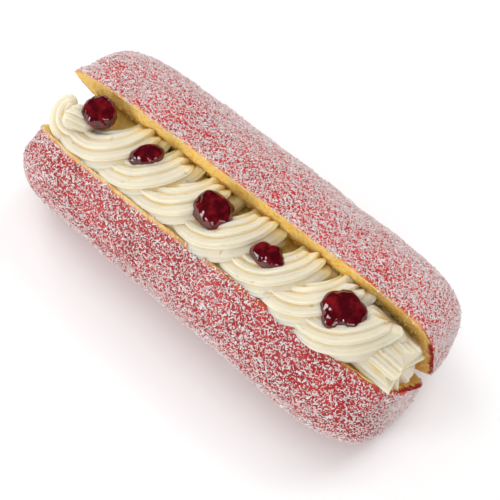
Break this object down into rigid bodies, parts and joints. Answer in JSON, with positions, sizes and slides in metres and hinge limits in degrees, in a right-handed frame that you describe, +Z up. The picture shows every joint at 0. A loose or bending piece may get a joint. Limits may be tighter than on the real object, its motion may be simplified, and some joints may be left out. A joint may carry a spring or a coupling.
{
  "type": "lamington",
  "caption": "Long cream-filled lamington: coconut-coated sponge log slit along the top, filled with piped cream shells and dotted with red jam.",
  "frame": {"origin": "middle of the part's box at the underside that it rests on", "axes": "+X along the log towards its wider end, -Y towards the low front lip of the slit, +Y towards the raised back lip, +Z up"},
  "size_m": [0.1638, 0.07, 0.0578],
  "materials": {
    "coated_sponge": "pink-red syrup coating covered with fine pale coconut, yellow crumb on the cut faces",
    "cream": "smooth ivory piped cream with a soft sheen",
    "jam": "wet, dark red, lumpy jam with seeds"
  },
  "bodies": {
    "root": {"sponge": "coated_sponge", "cream": "cream", "jam_1": "jam", "jam_2": "jam", "jam_3": "jam", "jam_4": "jam", "jam_5": "jam"}
  },
  "joints": []
}
